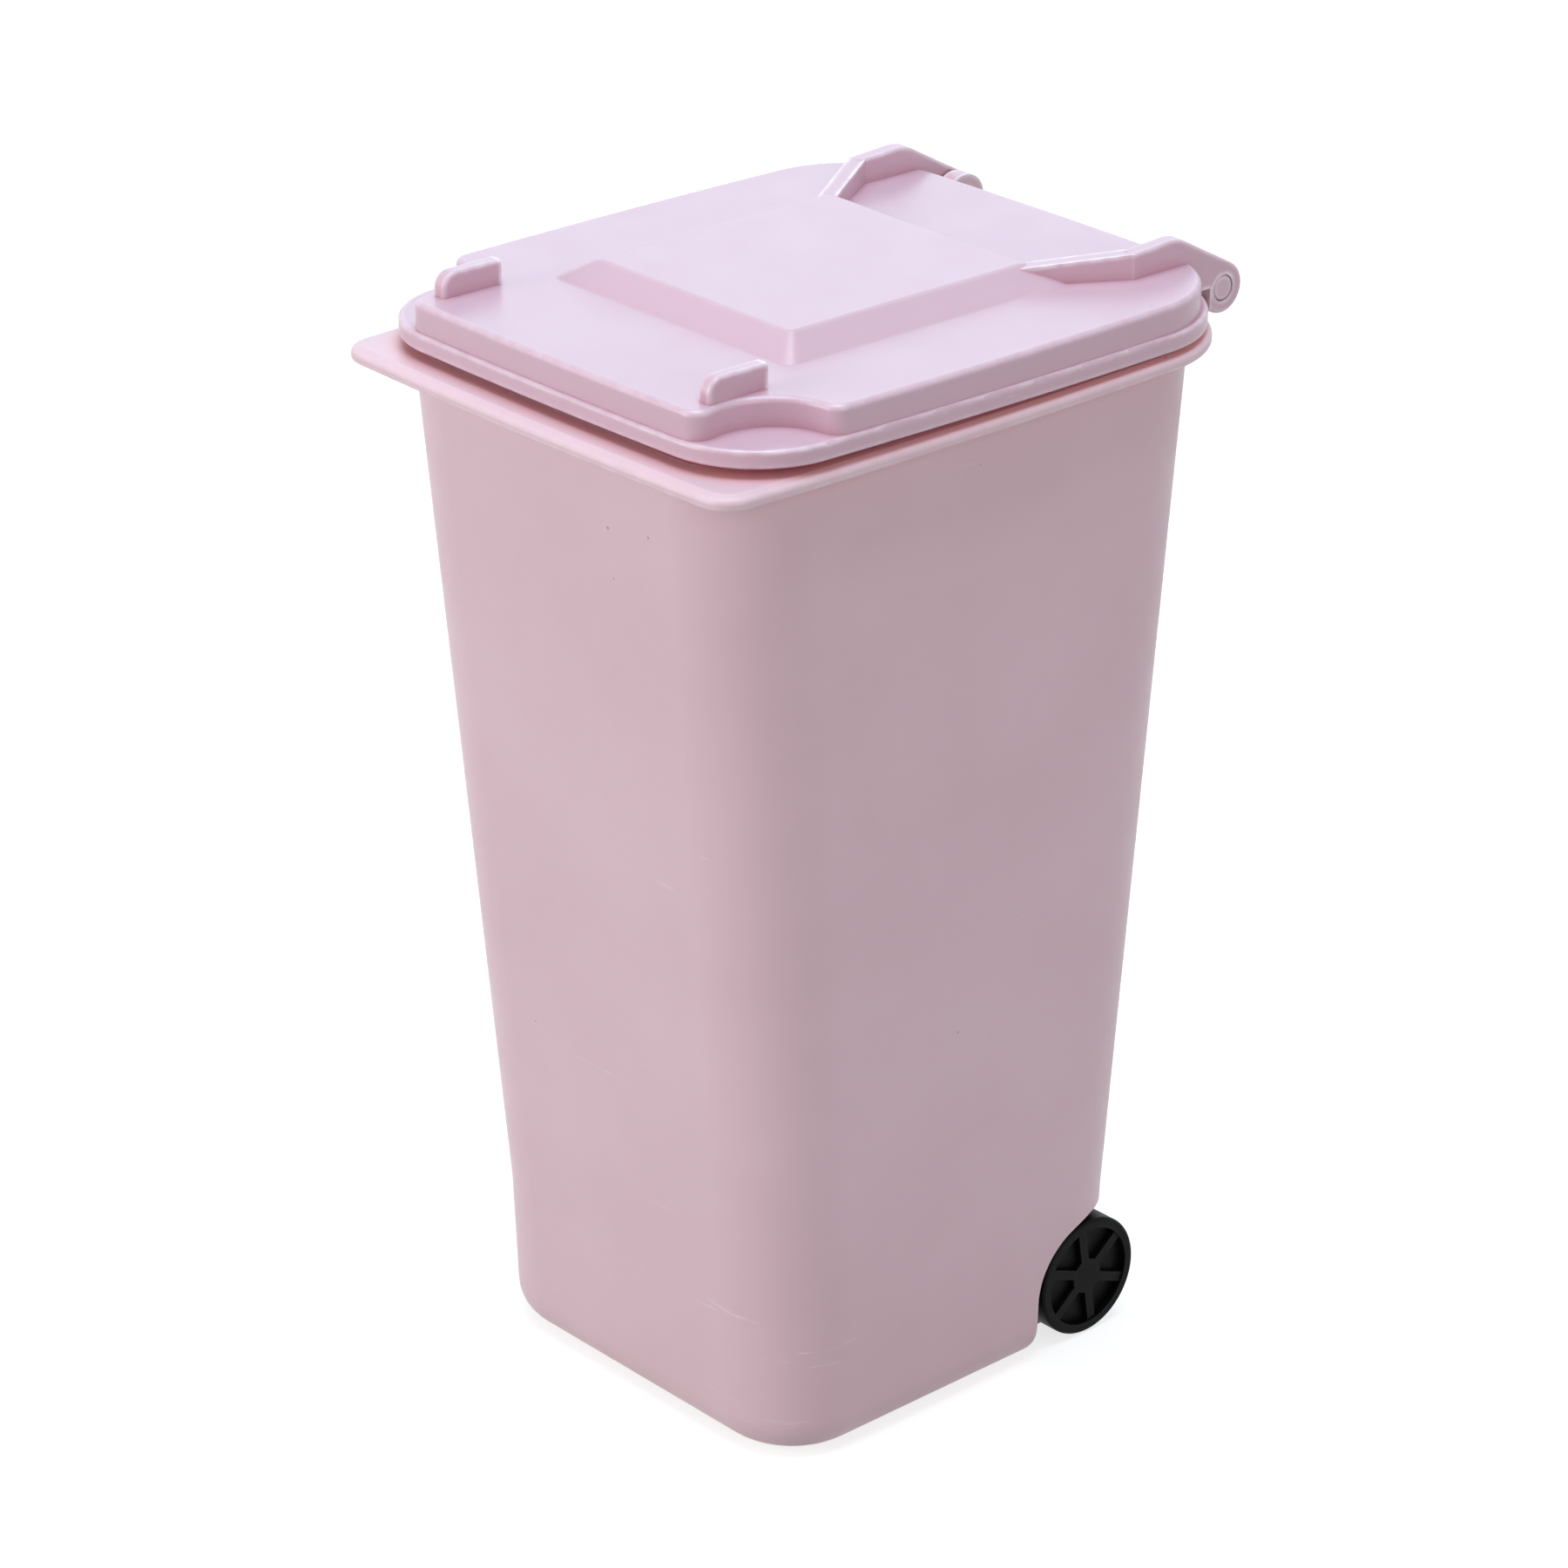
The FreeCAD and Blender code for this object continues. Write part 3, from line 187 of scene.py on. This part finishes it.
def moulded_plastic(name, body, blush, shade_colour, rubbed_highlit, roughness, grain_depth, edge_share, shade_reach):
    """Satin moulded plastic: blush, painted corner shade, edges paler from wear and a painted highlight,
    scuffs and specks in its colour, grain in its face.
    """
    material = bpy.data.materials.new(name)
    material.use_nodes = True
    tree = material.node_tree
    shader = tree.nodes["Principled BSDF"]
    spot = place(tree, "ShaderNodeTexCoord").outputs["Object"]
    clouds = use_group(tree, moulding_blush, Vector=spot)
    corner_shade_mask = use_group(tree, painted_corner_shade, Vector=spot, Reach=shade_reach)
    marks = use_group(tree, handling_marks, Vector=spot)
    edges = use_group(tree, rubbed_highlit_edges, Vector=spot)
    grain = use_group(tree, mould_grain, Vector=spot)
    colour = blend_colour(tree, clouds.outputs["Cloud"], rgba(body), rgba(blush))
    # Painted shade: inner corners and creases get a deeper pink where ambient occlusion finds walls close by
    colour = blend_colour(tree, times(tree, corner_shade_mask.outputs["Depth"], CORNER_SHADE_SHARE), colour, rgba(shade_colour))
    edge_amount = times(tree, edges.outputs["Edge"], edge_share)
    # Painted highlight and wear: outer edges get a paler colour, partly rubbed wear and partly a painted
    # highlight
    colour = blend_colour(tree, edge_amount, colour, rgba(rubbed_highlit))
    colour = blend_colour(tree, times(tree, marks.outputs["Scuffs"], SCUFF_SHARE), colour, rgba(SCUFF_PALE))
    colour = blend_colour(tree, times(tree, marks.outputs["Specks"], SPECK_SHARE), colour, rgba(SPECK_BROWN))
    tree.links.new(colour, shader.inputs["Base Color"])
    tree.links.new(stretch(tree, grain.outputs["Sheen"], 0.3, 0.7, *roughness), shader.inputs["Roughness"])
    bump = place(tree, "ShaderNodeBump", into={
        "Height": grain.outputs["Height"], "Strength": GRAIN_STRENGTH, "Distance": grain_depth})
    tree.links.new(bump.outputs["Normal"], shader.inputs["Normal"])
    return material, shader


tub_skin, shader = moulded_plastic("tub_pink_plastic", TUB_PINK, TUB_BLUSH, TUB_PAINTED_CORNER_SHADE, TUB_RUBBED_AND_HIGHLIT,
                                   TUB_ROUGHNESS, grain_depth=0.00003, edge_share=0.9, shade_reach=0.0030)
shader.inputs["IOR"].default_value = PLASTIC_IOR
shader.inputs["Subsurface Weight"].default_value = SOFT_SHARE
shader.inputs["Subsurface Radius"].default_value = SOFT_RADIUS
shader.inputs["Subsurface Scale"].default_value = 1.0

# Painted glow: the faces that look into the tub emit a faint red, standing in for light that comes through
# the thin walls
tree = tub_skin.node_tree
spot = place(tree, "ShaderNodeTexCoord").outputs["Object"]
flattened = place(tree, "ShaderNodeVectorMath", into={0: spot, 1: (1.0, 1.0, 0.0)}, operation="MULTIPLY")
outward = place(tree, "ShaderNodeVectorMath", into={0: flattened.outputs["Vector"]}, operation="NORMALIZE")
facing = place(tree, "ShaderNodeNewGeometry").outputs["Normal"]
turned = place(tree, "ShaderNodeVectorMath", into={0: outward.outputs["Vector"], 1: facing},
               operation="DOT_PRODUCT")
place_on_tub = place(tree, "ShaderNodeSeparateXYZ", into={"Vector": spot})
inner_face = stretch(tree, turned.outputs["Value"], -0.15, -0.45, 0.0, 1.0)
before_lugs = stretch(tree, place_on_tub.outputs["Y"], *LUG_FRONT_BAND, 1.0, 0.0)
above_base = stretch(tree, place_on_tub.outputs["Z"], *BASE_BAND, 0.0, 1.0)
inside = times(tree, times(tree, inner_face, before_lugs), above_base)
tree.links.new(blend_colour(tree, inside, rgba((0.0, 0.0, 0.0)), rgba(TUB_PAINTED_GLOW)),
               shader.inputs["Emission Color"])
shader.inputs["Emission Strength"].default_value = 1.0
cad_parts["tub"].material_slots[0].material = tub_skin


# Lid: a shallow cover with a raised middle panel, two front ribs and two hinge arms, moulded from
# the same pink plastic as the tub and a little shinier where the tool was polished.
LID_PINK = (0.612, 0.415, 0.500)
LID_BLUSH = (0.597, 0.398, 0.483)
# Painted shade colour for the lid's inner corners and creases, also used on the pins
LID_PAINTED_CORNER_SHADE = (0.520, 0.285, 0.355)
# Paler colour for the lid's outer edges: partly rubbed wear, partly a painted highlight
LID_RUBBED_AND_HIGHLIT = (0.880, 0.800, 0.860)
LID_ROUGHNESS = (0.28, 0.34)

lid_skin, shader = moulded_plastic("lid_pink_plastic", LID_PINK, LID_BLUSH, LID_PAINTED_CORNER_SHADE, LID_RUBBED_AND_HIGHLIT,
                                   LID_ROUGHNESS, grain_depth=0.000012, edge_share=0.9, shade_reach=0.0022)
shader.inputs["IOR"].default_value = 1.52
shader.inputs["Subsurface Weight"].default_value = SOFT_SHARE
shader.inputs["Subsurface Radius"].default_value = SOFT_RADIUS
shader.inputs["Subsurface Scale"].default_value = 1.0
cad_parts["lid"].material_slots[0].material = lid_skin


# Hinge pins: two short moulded pegs pressed into the tub's lugs, on which the lid's ears turn.
# The same pink plastic, burnished by the turning ears.
PIN_PINK = (0.670, 0.490, 0.560)
PIN_BLUSH = (0.620, 0.450, 0.520)
PIN_ROUGHNESS = (0.26, 0.36)

pin_skin, shader = moulded_plastic("pin_pink_plastic", PIN_PINK, PIN_BLUSH, LID_PAINTED_CORNER_SHADE, LID_RUBBED_AND_HIGHLIT,
                                   PIN_ROUGHNESS, grain_depth=0.00002, edge_share=0.6, shade_reach=0.0015)
shader.inputs["IOR"].default_value = PLASTIC_IOR
for side in ("left", "right"):
    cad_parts["hinge_pin_" + side].material_slots[0].material = pin_skin


# Axle: a plain drawn steel rod through the tube across the tub's foot, hidden by the tube and the wheels.
# Drawn wire has fine lines along its length and a dull grey skin.
AXLE_STEEL = (0.46, 0.46, 0.47)
AXLE_DULL = (0.30, 0.29, 0.29)

drawn_steel = bpy.data.materials.new("drawn_axle_steel")
drawn_steel.use_nodes = True
tree = drawn_steel.node_tree
shader = tree.nodes["Principled BSDF"]
spot = place(tree, "ShaderNodeTexCoord").outputs["Object"]
along = place(tree, "ShaderNodeMapping", into={"Vector": spot, "Scale": (0.02, 1.0, 1.0)})
lines = place(tree, "ShaderNodeTexNoise", into={"Vector": along.outputs["Vector"], "Scale": 4200.0,
                                                "Detail": 3.0})
dulled = use_group(tree, moulding_blush, Vector=spot, Scale=220.0)
tree.links.new(blend_colour(tree, dulled.outputs["Cloud"], rgba(AXLE_STEEL), rgba(AXLE_DULL)),
               shader.inputs["Base Color"])
tree.links.new(stretch(tree, lines.outputs["Fac"], 0.3, 0.7, 0.28, 0.48), shader.inputs["Roughness"])
bump = place(tree, "ShaderNodeBump", into={"Height": lines.outputs["Fac"], "Strength": 0.25,
                                           "Distance": 0.00002})
tree.links.new(bump.outputs["Normal"], shader.inputs["Normal"])
shader.inputs["Metallic"].default_value = 1.0
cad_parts["axle"].material_slots[0].material = drawn_steel


# Wheels: two spoked discs moulded in black plastic and pushed on the axle's ends.
# They are satin black in the recesses and scuffed a dull grey on the tread and the spoke edges.
WHEEL_BLACK = (0.0012, 0.0013, 0.0014)
WHEEL_BLOOM = (0.0026, 0.0026, 0.0029)
WHEEL_SCUFFED = (0.014, 0.014, 0.015)

wheel_skin = bpy.data.materials.new("wheel_black_plastic")
wheel_skin.use_nodes = True
tree = wheel_skin.node_tree
shader = tree.nodes["Principled BSDF"]
spot = place(tree, "ShaderNodeTexCoord").outputs["Object"]
clouds = use_group(tree, moulding_blush, Vector=spot, Scale=160.0)
marks = use_group(tree, handling_marks, Vector=spot, Scuff_Scale=180.0)
edges = use_group(tree, rubbed_highlit_edges, Vector=spot, Width=0.0004)
grain = use_group(tree, mould_grain, Vector=spot, Wave_Scale=320.0)
colour = blend_colour(tree, clouds.outputs["Cloud"], rgba(WHEEL_BLACK), rgba(WHEEL_BLOOM))
colour = blend_colour(tree, times(tree, edges.outputs["Edge"], 0.5), colour, rgba(WHEEL_SCUFFED))
colour = blend_colour(tree, times(tree, marks.outputs["Scuffs"], 0.4), colour, rgba(WHEEL_SCUFFED))
tree.links.new(colour, shader.inputs["Base Color"])
tree.links.new(stretch(tree, grain.outputs["Sheen"], 0.3, 0.7, 0.38, 0.54), shader.inputs["Roughness"])
bump = place(tree, "ShaderNodeBump", into={"Height": grain.outputs["Height"], "Strength": 0.3,
                                           "Distance": 0.00003})
tree.links.new(bump.outputs["Normal"], shader.inputs["Normal"])
shader.inputs["IOR"].default_value = 1.46
shader.inputs["Specular IOR Level"].default_value = 0.09
for side in ("left", "right"):
    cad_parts["wheel_" + side].material_slots[0].material = wheel_skin


# Floor and surround: a wide pale table top under an even white surround.
# The floor reads as white to the eye but keeps the bin's own soft shadow.
FLOOR_HALF = 3.0
FLOOR_PALE = (0.40, 0.40, 0.40)
FLOOR_LIFT = 0.75
SURROUND_LIGHT = 0.27
SURROUND_TINT = (0.90, 0.95, 1.0)

floor_mesh = bpy.data.meshes.new("table_top")
floor_mesh.from_pydata([(-FLOOR_HALF, -FLOOR_HALF, 0), (FLOOR_HALF, -FLOOR_HALF, 0),
                        (FLOOR_HALF, FLOOR_HALF, 0), (-FLOOR_HALF, FLOOR_HALF, 0)], [], [(0, 1, 2, 3)])
floor = bpy.data.objects.new("table_top", floor_mesh)
bpy.context.scene.collection.objects.link(floor)


def seen_or_mirrored(tree):
    """1 for what the camera sees straight on, in a reflection or through something clear."""
    path = place(tree, "ShaderNodeLightPath")
    either = place(tree, "ShaderNodeMath", into={
        0: path.outputs["Is Camera Ray"], 1: path.outputs["Is Glossy Ray"]}, operation="MAXIMUM")
    return place(tree, "ShaderNodeMath", into={
        0: either.outputs[0], 1: path.outputs["Is Transmission Ray"]}, operation="MAXIMUM").outputs[0]


table_paint = bpy.data.materials.new("pale_table")
table_paint.use_nodes = True
tree = table_paint.node_tree
tree.nodes.remove(tree.nodes["Principled BSDF"])
matt = place(tree, "ShaderNodeBsdfDiffuse", into={"Color": rgba(FLOOR_PALE)})
lift = place(tree, "ShaderNodeEmission", into={"Color": rgba((1.0, 1.0, 1.0)),
                                               "Strength": times(tree, seen_or_mirrored(tree), FLOOR_LIFT)})
together = place(tree, "ShaderNodeAddShader", into={0: matt.outputs[0], 1: lift.outputs[0]})
tree.links.new(together.outputs[0], tree.nodes["Material Output"].inputs["Surface"])
floor_mesh.materials.append(table_paint)

world = bpy.data.worlds.new("white_surround")
bpy.context.scene.world = world
world.use_nodes = True
tree = world.node_tree
seen = seen_or_mirrored(tree)
backing = tree.nodes["Background"]
tree.links.new(stretch(tree, seen, 0.0, 1.0, SURROUND_LIGHT, 1.0), backing.inputs["Strength"])
tree.links.new(blend_colour(tree, seen, rgba(SURROUND_TINT), rgba((1.0, 1.0, 1.0))), backing.inputs["Color"])


# Studio lamps: a broad warm soft box low on the camera's left lights the front, and a weak fill the right.
# A cool overhead box and a cool box behind, opposite the camera, make the lid's top paler than its sides.
BIN_MIDDLE = Vector((0.0, 0.0, 0.1))


def soft_box(name, place_at, width, power, tint):
    """A square area lamp that faces the middle of the bin."""
    lamp = bpy.data.lights.new(name, "AREA")
    lamp.shape = "SQUARE"
    lamp.size = width
    lamp.energy = power
    lamp.color = tint
    holder = bpy.data.objects.new(name, lamp)
    bpy.context.scene.collection.objects.link(holder)
    holder.location = place_at
    holder.rotation_mode = "QUATERNION"
    holder.rotation_quaternion = (BIN_MIDDLE - Vector(place_at)).to_track_quat("-Z", "Y")


soft_box("front_box", (-0.45, -1.1, 0.38), 0.8, 9.1, (1.0, 0.95, 0.93))
soft_box("overhead_box", (0.05, 0.0, 1.2), 0.7, 10.4, (0.76, 0.90, 1.0))
soft_box("behind_box", (-0.97, 0.87, 0.68), 0.9, 2.6, (0.62, 0.86, 1.0))
soft_box("right_fill", (1.1, -0.1, 0.5), 0.8, 4.1, (1.0, 0.90, 0.85))


# Camera: the photograph's own view, above the front right corner, through a long lens.
# Turn, lift, reach and lens come from fitting the bin's straight edges in the photograph.
VIEW_TURN = math.radians(48.12)
VIEW_LIFT = math.radians(24.64)
VIEW_REACH = 0.7542
VIEW_AIM = (-0.00242, -0.00202, 0.08357)
LENS_SHARE = 6248.6 / 1800

lens = bpy.data.cameras.new("photo_view")
lens.sensor_width = 36.0
lens.lens = LENS_SHARE * lens.sensor_width
lens.clip_start = 0.01
camera = bpy.data.objects.new("photo_view", lens)
bpy.context.scene.collection.objects.link(camera)
camera.location = (VIEW_AIM[0] + VIEW_REACH * math.sin(VIEW_TURN) * math.cos(VIEW_LIFT),
                   VIEW_AIM[1] - VIEW_REACH * math.cos(VIEW_TURN) * math.cos(VIEW_LIFT),
                   VIEW_AIM[2] + VIEW_REACH * math.sin(VIEW_LIFT))
camera.rotation_euler = (math.pi / 2 - VIEW_LIFT, 0.0, VIEW_TURN)
bpy.context.scene.camera = camera
bpy.context.scene.view_settings.view_transform = "Standard"
